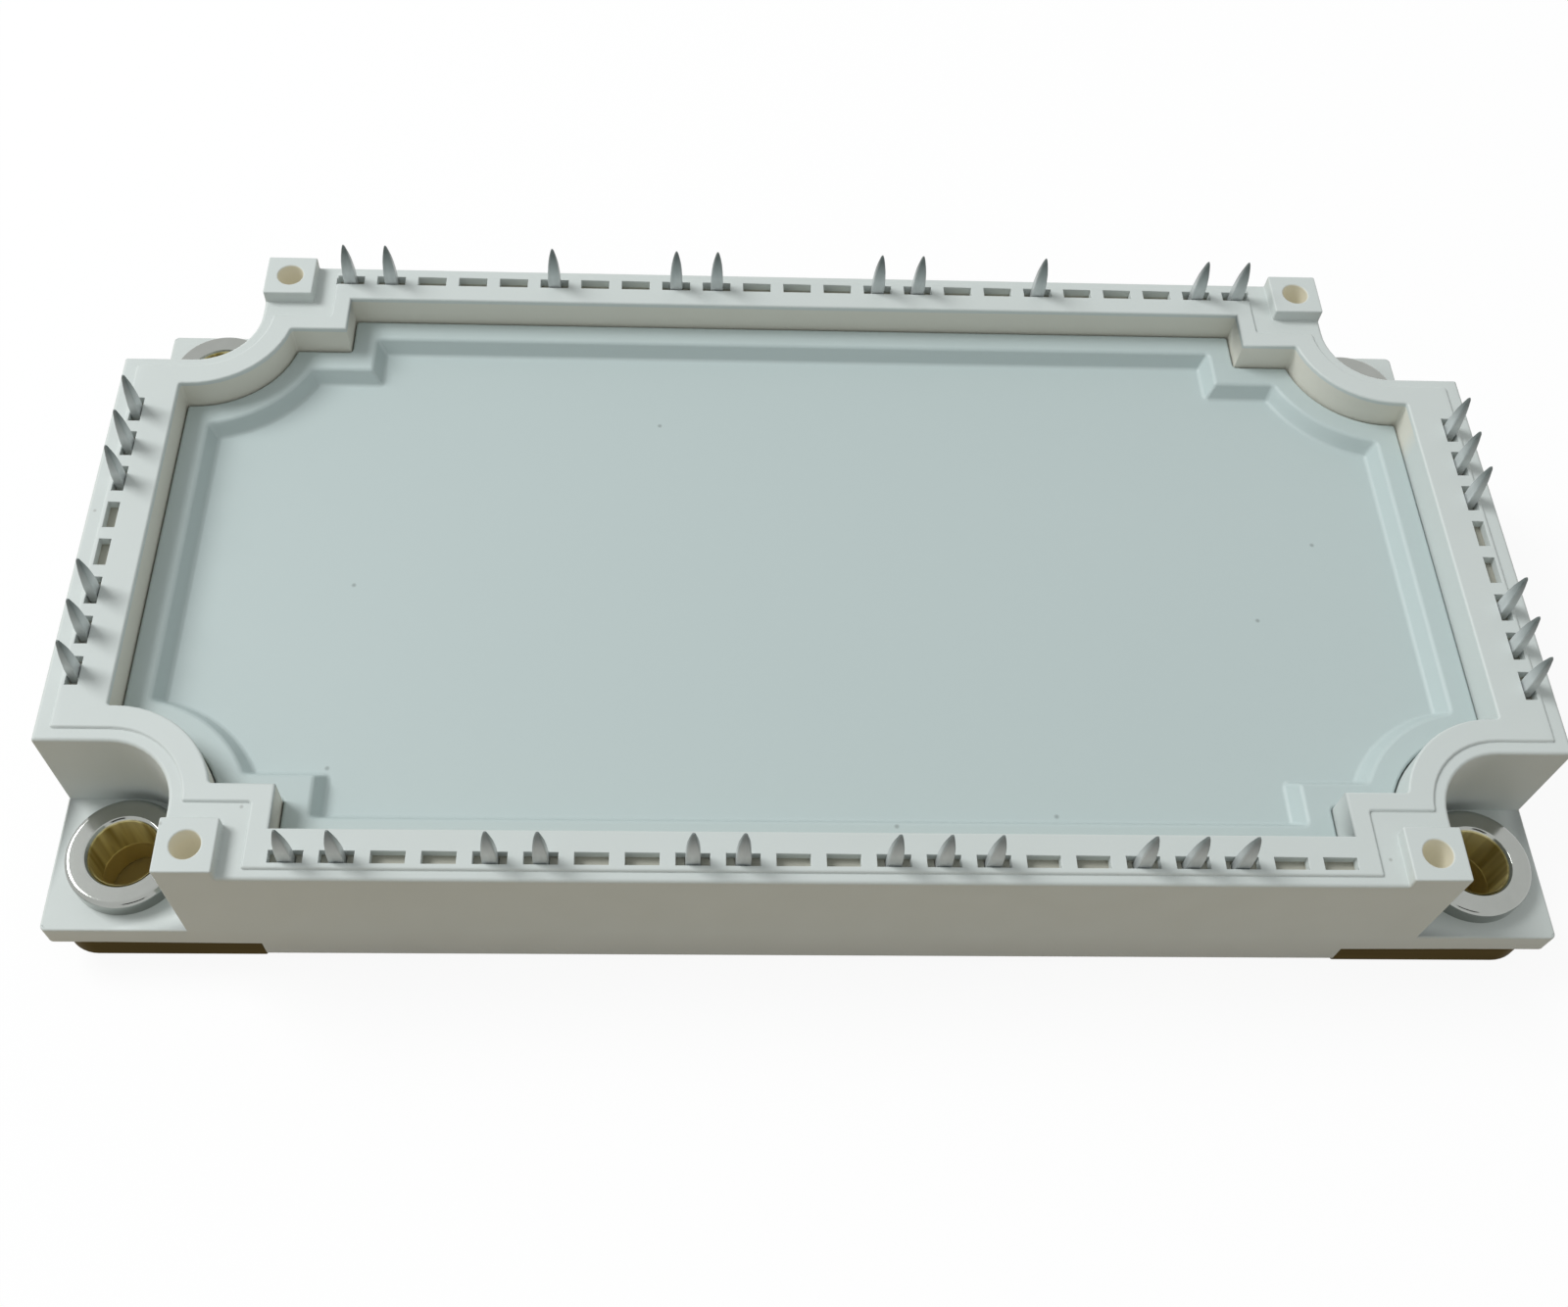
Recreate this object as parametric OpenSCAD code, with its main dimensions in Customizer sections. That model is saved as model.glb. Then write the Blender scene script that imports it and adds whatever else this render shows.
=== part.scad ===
// Pin-type IGBT power module: nickel-plated baseplate, moulded frame with a
// sunk lid, a screw dome and a bushed mounting hole at each corner, and solder
// pins along all four sides. Under the lid lie three soldered substrates with
// their dies, bond wires and soft potting.
// Origin: centre of the baseplate's underside. X runs along the length, Z up.

/* [Housing] */
// Length of the housing along X
housing_l = 122; // [120:1:136]
// Width of the housing along Y
housing_w = 62; // [60:1:72]
// Height of the frame's top face above the underside of the baseplate
frame_top = 16; // [15:0.5:19]
// Thickness of the two long walls
long_wall = 4.15; // [3.9:0.05:5]
// Thickness of the two short walls
short_wall = 5.4; // [4.8:0.1:6.5]
// Wall between a corner pocket and the lid opening
pocket_wall = 3.1; // [2.4:0.1:4]
// Wall between a screw dome's pad and the lid opening
dome_wall = 3.4; // [2.4:0.1:4]
// Radius of the housing's upright outer corners
corner_r = 0.5; // [0.3:0.1:1.5]

/* [Raised panel on the frame's top] */
// Height of the panel above the frame's margin
panel_h = 0.25; // [0.1:0.05:0.5]
// Margin along the long edges
panel_long = 0.8; // [0.4:0.05:0.9]
// Margin along the short edges
panel_short = 1.3; // [0.6:0.1:1.6]
// Margin around the corner pockets
panel_pocket = 1.05; // [0.5:0.05:1.6]
// Margin around the screw domes
panel_dome = 1.8; // [0.6:0.1:1.9]

/* [Corner mounting] */
// Distance from the short edge to a bolt's axis
bolt_inset_x = 6; // [5.6:0.1:7]
// Distance from the long edge to a bolt's axis
bolt_inset_y = 6; // [5.6:0.1:7]
// Diameter of the mounting holes
bolt_hole_d = 5.5; // [4.3:0.1:5.8]
// Radius of a corner pocket's rounded wall about the bolt
pocket_r = 5.5; // [4.9:0.1:6.5]
// Thickness of the plastic flange under a pocket
flange_t = 2.5; // [2:0.1:4]
// Diameter of a bush's barrel in the flange
bush_barrel_d = 7.6; // [7:0.1:8]
// Diameter of a bush's head on the flange
bush_head_d = 9.4; // [8.6:0.1:10]
// Height of a bush's head above the flange
bush_head_h = 1.8; // [1:0.1:2.5]
// Rounding of a bush's head
bush_round = 0.6; // [0.2:0.1:0.9]
// Radial gap between a bush and the flange
bush_fit = 0.05; // [0.02:0.01:0.1]

/* [Screw domes for the circuit board] */
// Side of the square pad on a dome
pad_size = 4.5; // [4:0.1:5]
// Height of the pad above the frame's top face
pad_h = 1; // [0.5:0.1:1.5]
// Diameter of the blind screw hole
dome_hole_d = 2.3; // [2:0.1:2.6]
// Depth of the blind screw hole
dome_hole_depth = 9; // [6:0.5:11]

/* [Baseplate] */
// Thickness of the baseplate
base_t = 3; // [2.6:0.1:4]
// How far the baseplate stays inside the housing's outline
base_inset = 0.2; // [0.1:0.05:0.5]
// Radius of the baseplate's corners
base_corner_r = 3; // [1:0.5:4]
// Length of the frame's skirt over each long edge
skirt_l = 88; // [70:1:92]
// Thickness of the skirt
skirt_t = 1.2; // [0.8:0.1:1.8]
// Height of the skirt's lower edge above the underside
skirt_gap = 0.8; // [0.4:0.1:1.4]
// Gap between the skirt and the baseplate
skirt_fit = 0.1; // [0.05:0.05:0.2]
// Width of the adhesive bead between frame and baseplate
bead_w = 1; // [0.6:0.1:1.4]
// Height of the adhesive bead
bead_h = 0.5; // [0.3:0.1:0.8]

/* [Lid] */
// Depth of the lid's border below the frame's top face
lid_drop = 3; // [2:0.1:3.2]
// Width of the lid's raised border
lid_border_w = 2.2; // [1.8:0.1:3]
// Depth of the lid's field below its border
lid_field_drop = 1.5; // [0.6:0.1:1.6]
// Run of the slope between border and field
lid_slope = 0.8; // [0.3:0.1:1.2]
// Thickness of the lid
lid_t = 1.2; // [1:0.1:1.5]
// Gap between the lid's edge and the frame
lid_gap = 0.1; // [0.05:0.05:0.2]
// Width of the shoulder that the lid rests on
lid_seat = 0.8; // [0.5:0.1:1]

/* [Pins] */
// Spacing of the pin slots
pin_spacing = 3.81; // [3.6:0.01:3.85]
// Distance from a long edge to its row of pins
row_inset = 1.8; // [1.6:0.1:2]
// Distance from a short edge to its column of pins
column_inset = 2.2; // [1.8:0.1:2.6]
// Width of a pin's blade
pin_w = 1.15; // [0.9:0.05:1.3]
// Thickness of a pin's blade
pin_t = 0.8; // [0.6:0.05:0.9]
// Height of the pin tips above the underside
pin_top = 20.5; // [19.5:0.1:23]
// Length of a pin's tapered end
pin_taper = 3.6; // [2:0.1:3.8]
// Width of a pin at its tip
pin_tip = 0.45; // [0.3:0.05:0.6]
// Gap between a pin and its channel in the frame
pin_fit = 0.05; // [0.02:0.01:0.1]
// Length of a pin's foot past the inner wall
foot_show = 1.8; // [1.4:0.1:2.2]
// Width of the ledge inside the frame that carries the feet
foot_ledge = 3; // [2.6:0.1:3.2]
// Length of the slot around a pin
slot_l = 2.6; // [2:0.1:3.1]
// Width of the slot around a pin
slot_w = 1; // [1:0.05:1.3]
// Depth of the slot around a pin
slot_depth = 1; // [0.6:0.1:2.5]

/* [Substrates] */
// Gap between the substrates and the frame at the nearest corners
substrate_clear = 0.8; // [0.5:0.1:1.5]
// Gap between two substrates
substrate_gap = 1.5; // [0.5:0.1:1.8]
// Thickness of the solder under a substrate
solder_t = 0.15; // [0.1:0.01:0.3]
// Thickness of the copper on each face of a substrate
copper_t = 0.3; // [0.2:0.05:0.4]
// Thickness of the ceramic
ceramic_t = 0.38; // [0.25:0.01:0.64]
// Bare ceramic around the copper
copper_margin = 1; // [0.6:0.1:1.5]
// Gap between two copper tracks
track_gap = 0.8; // [0.5:0.1:1]
// Width of the landing strip for bond wires along each long edge
landing_w = 4; // [3.4:0.1:4.5]
// Width of the landing strip beside each column of pins
side_landing_w = 3; // [2.4:0.1:3.4]

/* [Dies and bond wires] */
// Bare copper beside an IGBT die on the shortest track
igbt_margin = 0.25; // [0.2:0.05:0.6]
// Side of an inverter diode die
diode_size = 5; // [4.4:0.1:5.6]
// Side of a rectifier or brake die
rectifier_size = 4.8; // [4.4:0.1:5.2]
// Thickness of a die
die_t = 0.2; // [0.1:0.01:0.3]
// Thickness of a bond wire
wire_d = 0.38; // [0.25:0.01:0.4]
// Angle of the arc that a bond wire follows
wire_arc = 110; // [90:5:120]
// Length of a bond wire's welded end
stitch_l = 1.2; // [1:0.1:1.4]
// Spacing of the parallel wires on a die
wire_spacing = 2; // [1.2:0.1:2.6]
// Diameter of the thermistor
thermistor_d = 1.6; // [1.2:0.1:2]
// Length of the thermistor
thermistor_l = 3.4; // [3:0.1:4]

/* [Potting] */
// Gap between the potting and what it surrounds
gel_gap = 0.05; // [0.02:0.01:0.1]
// Air above the potting, under the lid
gel_air = 0.4; // [0.2:0.05:0.6]

/* [Hidden] */
$fn = 48;
// Slots in each row and column
front_slots = 22;
back_slots = 23;
column_slots = 8;
// Where the pins stand, in spacings from the middle of the row or column
front_pins = [-10.5, -9.5, -6.5, -5.5, -2.5, -1.5, 1.5, 2.5, 3.5, 6.5, 7.5, 8.5];
back_pins = [-11, -10, -6, -3, -2, 2, 3, 6, 10, 11];
column_pins = [-3.5, -2.5, -1.5, 1.5, 2.5, 3.5];
// Substrates side by side, and columns of tracks on each
substrates = 3;
track_columns = 3;
// Rows of dies on each substrate, from the left one
die_rows = [3, 2, 2];
wires_per_die = 2;

far = 2 * housing_l;
// Overlap of cutting tools past the faces that they cut
past = 1;

bolt_x = housing_l / 2 - bolt_inset_x;
bolt_y = housing_w / 2 - bolt_inset_y;
// Inner corner of a dome's pad: its outer sides are flush with the pocket
// wall and with the long wall
pad_x = bolt_x - pocket_r - pad_size;
pad_y = housing_w / 2 - pad_size;

// Levels from the underside up
flange_top = base_t + flange_t;
frame_margin_top = frame_top - panel_h;
lid_top = frame_top - lid_drop;
seat_top = lid_top - lid_t;
field_top = lid_top - lid_field_drop;
field_bottom = field_top - lid_t;
gel_top = field_bottom - gel_air;
foot_z = flange_top;
slot_bottom = frame_top - slot_depth;
ceramic_z = base_t + solder_t + copper_t;
circuit_z = ceramic_z + ceramic_t;
circuit_top = circuit_z + copper_t;
die_top = circuit_top + die_t;

// Pins
row_y = housing_w / 2 - row_inset;
column_x = housing_l / 2 - column_inset;
long_face_y = housing_w / 2 - long_wall - lid_seat;
short_face_x = housing_l / 2 - short_wall - lid_seat;
dome_face_x = pad_x - dome_wall - lid_seat;
dome_face_y = pad_y - dome_wall - lid_seat;

function slot_at(i, count) = (i - (count - 1) / 2) * pin_spacing;
function pin_at(n) = n * pin_spacing;
// A pin that stands in line with a dome's wall has a longer foot
function row_face(x) =
    abs(x) + pin_w / 2 > dome_face_x ? dome_face_y : long_face_y;
function row_foot(x) = row_y - row_face(x) + foot_show;
// One beside a corner pocket reaches past the rounded wall there
face_r = pocket_r + pocket_wall + lid_seat;
function column_face(y) =
    let (dy = bolt_y - abs(y) - pin_w / 2)
    min(short_face_x, bolt_x - sqrt(max(0, face_r * face_r - dy * dy)));
function column_foot(y) = column_x - column_face(y) + foot_show;

// Substrates: as large as the frame's opening allows, whose corners about the
// bolts and at the domes come nearest
base_inset_total = lid_seat + foot_ledge + substrate_clear;
substrate_half_w = pad_y - dome_wall - base_inset_total;
pocket_clear_r = pocket_r + pocket_wall + base_inset_total;
pocket_clear_y = bolt_y - substrate_half_w;
pocket_clear_x = sqrt(max(0, pocket_clear_r * pocket_clear_r
                             - pocket_clear_y * pocket_clear_y));
substrates_half_l = min(bolt_x - pocket_clear_x,
                        housing_l / 2 - short_wall - base_inset_total);
substrate_w = 2 * substrate_half_w;
substrate_l =
    (2 * substrates_half_l - (substrates - 1) * substrate_gap) / substrates;
substrate_pitch = substrate_l + substrate_gap;
copper_l = substrate_l - 2 * copper_margin;
copper_w = substrate_w - 2 * copper_margin;
island_w = copper_w - 2 * (landing_w + track_gap);
landing_y = island_w / 2 + track_gap + landing_w / 2;
pin_landing_y = landing_y + landing_w / 4;
die_landing_y = landing_y - landing_w / 4;
side_landing_x =
    substrate_pitch + copper_l / 2 - side_landing_w / 2;

function substrate_x(s) = (s - (substrates - 1) / 2) * substrate_pitch;
// The outer substrates give up a strip beside the columns of pins
function has_side_strip(s) = s == 0 || s == substrates - 1;
function tracks_l(s) =
    copper_l - (has_side_strip(s) ? side_landing_w + track_gap : 0);
function tracks_x(s) = substrate_x(s)
    + (s == 0 ? 1 : s == substrates - 1 ? -1 : 0)
        * (copper_l - tracks_l(s)) / 2;
function track_pitch(s) = (tracks_l(s) + track_gap) / track_columns;
function track_l(s) = track_pitch(s) - track_gap;
function track_x(s, c) =
    tracks_x(s) + (c - (track_columns - 1) / 2) * track_pitch(s);
function die_y(s, r) =
    (r - (die_rows[s] - 1) / 2) * island_w / die_rows[s];
// The brake's column pair leaves one place on the left substrate bare
function has_die(s, c, r) = s > 0 || r > 0 || c < 2;
igbt_size = track_l(substrates - 1) - 2 * igbt_margin;
function die_size(s, r) =
    s == 0 ? rectifier_size : r == 0 ? igbt_size : diode_size;
thermistor_x = (track_x(2, 1) + track_x(2, 2)) / 2;

// A row pin's wire runs a little inwards, to land inside the nearest track
row_reach = pin_at(max(back_pins));
track_reach = tracks_x(substrates - 1) + tracks_l(substrates - 1) / 2 - wire_d;

function clamp(v, low, high) = min(max(v, low), high);
function nearest(v, count) = clamp(round(v + (count - 1) / 2), 0, count - 1);
function landing_x(x) =
    let (aim = x * min(1, track_reach / row_reach),
         s = nearest(aim / substrate_pitch, substrates),
         c = nearest((aim - tracks_x(s)) / track_pitch(s), track_columns),
         reach = track_l(s) / 2 - wire_d)
    clamp(aim, track_x(s, c) - reach, track_x(s, c) + reach);

/* Shared shapes */

module each_corner()
    for (flip_x = [0, 1], flip_y = [0, 1])
        mirror([flip_x, 0, 0]) mirror([0, flip_y, 0]) children();

module rounded_rectangle(l, w, r) {
    square([l - 2 * r, w], center = true);
    square([l, w - 2 * r], center = true);
    for (sx = [-1, 1], sy = [-1, 1])
        translate([sx * (l / 2 - r), sy * (w / 2 - r)]) circle(r);
}

// The corner region around a bolt, with a rounded inner corner of radius r
module corner_pocket(r)
    translate([bolt_x, bolt_y]) {
        circle(r);
        translate([-r, 0]) square(far);
        translate([0, -r]) square(far);
    }

// The region outside a dome pad's inner corner, grown inwards
module dome_corner(grow)
    translate([pad_x - grow, pad_y - grow]) square(far);

// Outline of the opening inside the frame, at a distance inside its wall
module opening_outline(inset)
    difference() {
        square([housing_l - 2 * (short_wall + inset),
                housing_w - 2 * (long_wall + inset)], center = true);
        each_corner() {
            corner_pocket(pocket_r + pocket_wall + inset);
            dome_corner(dome_wall + inset);
        }
    }

// A bar along X or Y whose inner side slopes from "low" at z0 to "high" at z1
module sloped_bar_x(low, high, z0, z1)
    translate([0, far / 2, 0]) rotate([90, 0, 0])
        linear_extrude(far)
            polygon([[low, z0], [far, z0], [far, z1], [high, z1]]);

module sloped_bar_y(low, high, z0, z1)
    translate([-far / 2, 0, 0]) rotate([90, 0, 90])
        linear_extrude(far)
            polygon([[low, z0], [far, z0], [far, z1], [high, z1]]);

/* Frame */

module frame_body() {
    translate([0, 0, base_t])
        linear_extrude(flange_t)
            rounded_rectangle(housing_l, housing_w, corner_r);
    translate([0, 0, base_t])
        linear_extrude(frame_margin_top - base_t)
            difference() {
                rounded_rectangle(housing_l, housing_w, corner_r);
                each_corner() corner_pocket(pocket_r);
            }
    translate([0, 0, frame_margin_top])
        linear_extrude(panel_h)
            difference() {
                square([housing_l - 2 * panel_short,
                        housing_w - 2 * panel_long], center = true);
                each_corner() {
                    corner_pocket(pocket_r + panel_pocket);
                    dome_corner(panel_dome);
                }
            }
    each_corner()
        translate([pad_x, pad_y, base_t])
            cube([pad_size, pad_size, frame_top + pad_h - base_t]);
    for (side = [-1, 1])
        translate([-skirt_l / 2,
                   side * (housing_w - skirt_t) / 2 - skirt_t / 2,
                   skirt_gap])
            cube([skirt_l, skirt_t, base_t - skirt_gap]);
}

// The frame's inside: lid opening, chamber and the opening over the base
module frame_inside() {
    translate([0, 0, seat_top])
        linear_extrude(far) opening_outline(0);
    translate([0, 0, foot_z])
        linear_extrude(far) opening_outline(lid_seat);
    linear_extrude(far) opening_outline(lid_seat + foot_ledge);
}

module bead_outline(grow)
    difference() {
        opening_outline(lid_seat + foot_ledge / 2 - bead_w / 2 - grow);
        opening_outline(lid_seat + foot_ledge / 2 + bead_w / 2 + grow);
    }

module at_row_pin(side, x)
    rotate(side > 0 ? 180 : 0)
        translate([side > 0 ? -x : x, -row_y, 0]) children();

module at_column_pin(side, y)
    translate([side * column_x, y, 0]) rotate(side * 90) children();

module each_pin() {
    for (side = [-1, 1], n = side < 0 ? front_pins : back_pins)
        at_row_pin(side, pin_at(n))
            let ($foot = row_foot(pin_at(n))) children();
    for (side = [-1, 1], n = column_pins)
        at_column_pin(side, pin_at(n))
            let ($foot = column_foot(pin_at(n))) children();
}

module each_slot() {
    for (i = [0 : front_slots - 1])
        at_row_pin(-1, slot_at(i, front_slots)) children();
    for (i = [0 : back_slots - 1])
        at_row_pin(1, slot_at(i, back_slots)) children();
    for (i = [0 : column_slots - 1], side = [-1, 1])
        at_column_pin(side, slot_at(i, column_slots)) children();
}

// The channel that a pin's blade and foot run through
module pin_channel() {
    half_w = pin_w / 2 + pin_fit;
    half_t = pin_t / 2 + pin_fit;
    translate([-half_w, -half_t, foot_z])
        cube([2 * half_w, 2 * half_t, far]);
    translate([-half_w, -half_t, foot_z])
        cube([2 * half_w, half_t + $foot + pin_fit, pin_t + pin_fit]);
}

module frame()
    color("#cdd6d8")
        difference() {
            frame_body();
            frame_inside();
            translate([0, 0, base_t - past])
                linear_extrude(bead_h + past) bead_outline(pin_fit);
            each_corner() {
                translate([bolt_x, bolt_y, 0])
                    cylinder(d = bush_barrel_d + 2 * bush_fit, h = flange_top + past);
                translate([pad_x + pad_size / 2, pad_y + pad_size / 2,
                           frame_top + pad_h - dome_hole_depth])
                    cylinder(d = dome_hole_d, h = far);
            }
            each_slot()
                translate([-slot_l / 2, -slot_w / 2, slot_bottom])
                    cube([slot_l, slot_w, far]);
            each_pin() pin_channel();
        }

/* Lid */

// The sunk field, whose sides slope in towards its floor
module lid_field() {
    top = lid_border_w;
    floor_inset = top + lid_slope;
    z1 = lid_top + past;
    // The slope carried on above the border, so that it cuts through
    top_inset = top - lid_slope * past / lid_field_drop;
    difference() {
        translate([0, 0, field_top])
            linear_extrude(z1 - field_top) opening_outline(0);
        each_corner() {
            sloped_bar_x(housing_l / 2 - short_wall - floor_inset,
                         housing_l / 2 - short_wall - top_inset,
                         field_top, z1);
            sloped_bar_y(housing_w / 2 - long_wall - floor_inset,
                         housing_w / 2 - long_wall - top_inset,
                         field_top, z1);
            lid_field_pocket(pocket_r + pocket_wall + floor_inset,
                             pocket_r + pocket_wall + top_inset, z1);
            intersection() {
                sloped_bar_x(pad_x - dome_wall - floor_inset,
                             pad_x - dome_wall - top_inset, field_top, z1);
                sloped_bar_y(pad_y - dome_wall - floor_inset,
                             pad_y - dome_wall - top_inset, field_top, z1);
            }
        }
    }
}

module lid_field_pocket(floor_r, top_r, z1) {
    translate([bolt_x, bolt_y, field_top])
        cylinder(r1 = floor_r, r2 = top_r, h = z1 - field_top);
    intersection() {
        sloped_bar_x(bolt_x - floor_r, bolt_x - top_r, field_top, z1);
        translate([0, bolt_y, 0]) cube(far);
    }
    intersection() {
        sloped_bar_y(bolt_y - floor_r, bolt_y - top_r, field_top, z1);
        translate([bolt_x, 0, 0]) cube(far);
    }
}

module lid()
    color("#bccbcd")
        difference() {
            union() {
                translate([0, 0, seat_top])
                    linear_extrude(lid_t) opening_outline(lid_gap);
                translate([0, 0, field_bottom])
                    linear_extrude(lid_top - field_bottom)
                        opening_outline(lid_seat + lid_gap);
            }
            lid_field();
        }

/* Baseplate, bead and bushes */

module baseplate()
    color("#b9a98d")
        linear_extrude(base_t)
            difference() {
                rounded_rectangle(housing_l - 2 * base_inset,
                                  housing_w - 2 * base_inset, base_corner_r);
                for (side = [-1, 1])
                    translate([0, side * housing_w / 2])
                        square([skirt_l + 2 * skirt_fit,
                                2 * (skirt_t + skirt_fit)], center = true);
                each_corner()
                    translate([bolt_x, bolt_y]) circle(d = bolt_hole_d);
            }

module adhesive_bead()
    color("#e8e8e4")
        translate([0, 0, base_t]) linear_extrude(bead_h) bead_outline(0);

module bush()
    color("#c3c0b4")
        rotate_extrude()
            difference() {
                union() {
                    translate([0, base_t])
                        square([bush_barrel_d / 2, flange_t]);
                    translate([0, flange_top]) {
                        square([bush_head_d / 2, bush_head_h - bush_round]);
                        square([bush_head_d / 2 - bush_round, bush_head_h]);
                        translate([bush_head_d / 2 - bush_round,
                                   bush_head_h - bush_round])
                            circle(bush_round);
                    }
                }
                square([bolt_hole_d / 2, far]);
            }

module corner_bush(side_x, side_y)
    translate([side_x * bolt_x, side_y * bolt_y, 0]) bush();

/* Pins */

// Outline of a blade's face or edge: straight, then tapered to a blunt tip
module blade_outline(width, tip)
    polygon([[-width / 2, foot_z], [width / 2, foot_z],
             [width / 2, pin_top - pin_taper],
             [tip / 2, pin_top - tip / 2], [tip / 4, pin_top],
             [-tip / 4, pin_top], [-tip / 2, pin_top - tip / 2],
             [-width / 2, pin_top - pin_taper]]);

module pin(foot)
    color("#8d9294") {
        intersection() {
            translate([0, pin_t / 2, 0]) rotate([90, 0, 0])
                linear_extrude(pin_t) blade_outline(pin_w, pin_tip);
            translate([-pin_w / 2, 0, 0]) rotate([90, 0, 90])
                linear_extrude(pin_w) blade_outline(pin_t, pin_tip);
        }
        translate([-pin_w / 2, -pin_t / 2, foot_z])
            cube([pin_w, foot + pin_t / 2, pin_t]);
    }

module row_pin(side, x)
    at_row_pin(side, x) pin(row_foot(x));

module column_pin(side, y)
    at_column_pin(side, y) pin(column_foot(y));

/* Substrates */

module ceramic(s)
    color("#f2f0e8")
        translate([substrate_x(s) - substrate_l / 2, -substrate_w / 2, ceramic_z])
            cube([substrate_l, substrate_w, ceramic_t]);

module back_copper(s)
    color("#b87848")
        translate([substrate_x(s) - copper_l / 2, -copper_w / 2, base_t])
            cube([copper_l, copper_w, solder_t + copper_t]);

module circuit_outline(s) {
    for (c = [0 : track_columns - 1])
        translate([track_x(s, c), 0]) {
            square([track_l(s), island_w], center = true);
            for (side = [-1, 1])
                translate([0, side * landing_y])
                    square([track_l(s), landing_w], center = true);
        }
    if (has_side_strip(s))
        for (i = [0 : column_slots - 1])
            translate([(s == 0 ? -1 : 1) * side_landing_x,
                       slot_at(i, column_slots)])
                square([side_landing_w, pin_spacing - track_gap], center = true);
}

module circuit_copper(s)
    color("#c98a55")
        translate([0, 0, circuit_z])
            linear_extrude(copper_t) circuit_outline(s);

/* Dies: the left substrate holds rectifier and brake, the others the inverter */

module dies(s_list, c_list, r_list)
    for (s = s_list, c = c_list, r = r_list)
        translate([track_x(s, c) - die_size(s, r) / 2,
                   die_y(s, r) - die_size(s, r) / 2, circuit_top])
            cube([die_size(s, r), die_size(s, r), die_t]);

module thermistor()
    color("#3c4a5a")
        translate([thermistor_x - thermistor_l / 2, landing_y,
                   circuit_top + thermistor_d / 2])
            rotate([0, 90, 0]) cylinder(d = thermistor_d, h = thermistor_l);

/* Bond wires: each runs along +X from the origin, over $run and $rise */

module wire() {
    chord = norm([$run, $rise]);
    r = chord / (2 * sin(wire_arc / 2));
    rotate([90, 0, 0]) linear_extrude(wire_d, center = true) {
        translate([0, wire_d / 2]) rotate(atan2($rise, $run))
            intersection() {
                translate([chord / 2, -r * cos(wire_arc / 2)])
                    difference() {
                        circle(r + wire_d / 2);
                        circle(r - wire_d / 2);
                    }
                translate([-far / 2, 0]) square(far);
            }
        translate([-stitch_l / 2, 0]) square([stitch_l, wire_d]);
        translate([$run - stitch_l / 2, $rise]) square([stitch_l, wire_d]);
    }
}

// The straight-sided room that a wire, or "count" side by side, takes up
module wire_space(count = 1) {
    low = min(0, $rise);
    top = max(0, $rise) + norm([$run, $rise]) / 2 * tan(wire_arc / 4)
        + 2 * wire_d;
    side = (wire_d + (count - 1) * wire_spacing) / 2 + gel_gap;
    end = stitch_l / 2 + gel_gap;
    translate([-end, -side, low])
        cube([$run + 2 * end, 2 * side, top - low]);
}

module wire_between(x0, y0, z0, x1, y1, z1)
    translate([x0, y0, z0]) rotate(atan2(y1 - y0, x1 - x0))
        let ($run = norm([x1 - x0, y1 - y0]), $rise = z1 - z0) children();

// From each pin's foot to the track in front of it
module each_pin_wire() {
    foot_top = foot_z + pin_t;
    for (side = [-1, 1], n = side < 0 ? front_pins : back_pins) {
        x = pin_at(n);
        wire_between(x, side * (row_face(x) - foot_show / 2), foot_top,
                     landing_x(x), side * pin_landing_y, circuit_top)
            children();
    }
    for (side = [-1, 1], n = column_pins) {
        y = pin_at(n);
        wire_between(side * (column_face(y) - foot_show / 2), y, foot_top,
                     side * side_landing_x, y, circuit_top)
            children();
    }
}

// The dies at the ends of a column are wired outwards to the landing strips,
// one in the middle to the track between it and the die in front
module each_die_wire()
    for (s = [0 : substrates - 1], c = [0 : track_columns - 1],
         r = [0 : die_rows[s] - 1])
        if (has_die(s, c, r)) {
            to_back = r == die_rows[s] - 1;
            y0 = die_y(s, r) + (to_back ? 1 : -1) * stitch_l;
            y1 = to_back ? die_landing_y
                : r == 0 ? -die_landing_y
                : (die_y(s, r - 1) + die_y(s, r)) / 2;
            wire_between(track_x(s, c), y0, die_top,
                         track_x(s, c), y1, circuit_top)
                children();
        }

module bond_wires()
    color("#d9d9dc") {
        each_pin_wire() wire();
        each_die_wire()
            for (i = [0 : wires_per_die - 1])
                translate([0, (i - (wires_per_die - 1) / 2) * wire_spacing, 0])
                    wire();
    }

/* Potting */

module silicone_gel()
    color("#dfe6e4", 0.6)
        difference() {
            union() {
                translate([0, 0, base_t])
                    linear_extrude(gel_top - base_t)
                        opening_outline(lid_seat + foot_ledge + gel_gap);
                translate([0, 0, foot_z + gel_gap])
                    linear_extrude(gel_top - foot_z - gel_gap)
                        opening_outline(lid_seat + gel_gap);
            }
            for (s = [0 : substrates - 1]) substrate_space(s);
            thermistor_space();
            each_pin() foot_space();
            each_pin_wire() wire_space();
            each_die_wire() wire_space(wires_per_die);
        }

module substrate_space(s) {
    l = substrate_l + 2 * gel_gap;
    w = substrate_w + 2 * gel_gap;
    translate([substrate_x(s) - l / 2, -w / 2, base_t - past])
        cube([l, w, circuit_top + gel_gap - base_t + past]);
    for (c = [0 : track_columns - 1], r = [0 : die_rows[s] - 1])
        if (has_die(s, c, r)) {
            size = die_size(s, r) + 2 * gel_gap;
            translate([track_x(s, c) - size / 2, die_y(s, r) - size / 2,
                       circuit_top])
                cube([size, size, die_t + gel_gap]);
        }
}

module thermistor_space() {
    l = thermistor_l + 2 * gel_gap;
    w = thermistor_d + 2 * gel_gap;
    translate([thermistor_x - l / 2, landing_y - w / 2, circuit_top])
        cube([l, w, thermistor_d + gel_gap]);
}

module foot_space()
    translate([-pin_w / 2 - gel_gap, 0, foot_z - past])
        cube([pin_w + 2 * gel_gap, $foot + gel_gap, pin_t + gel_gap + past]);

/* What each node draws */

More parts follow.
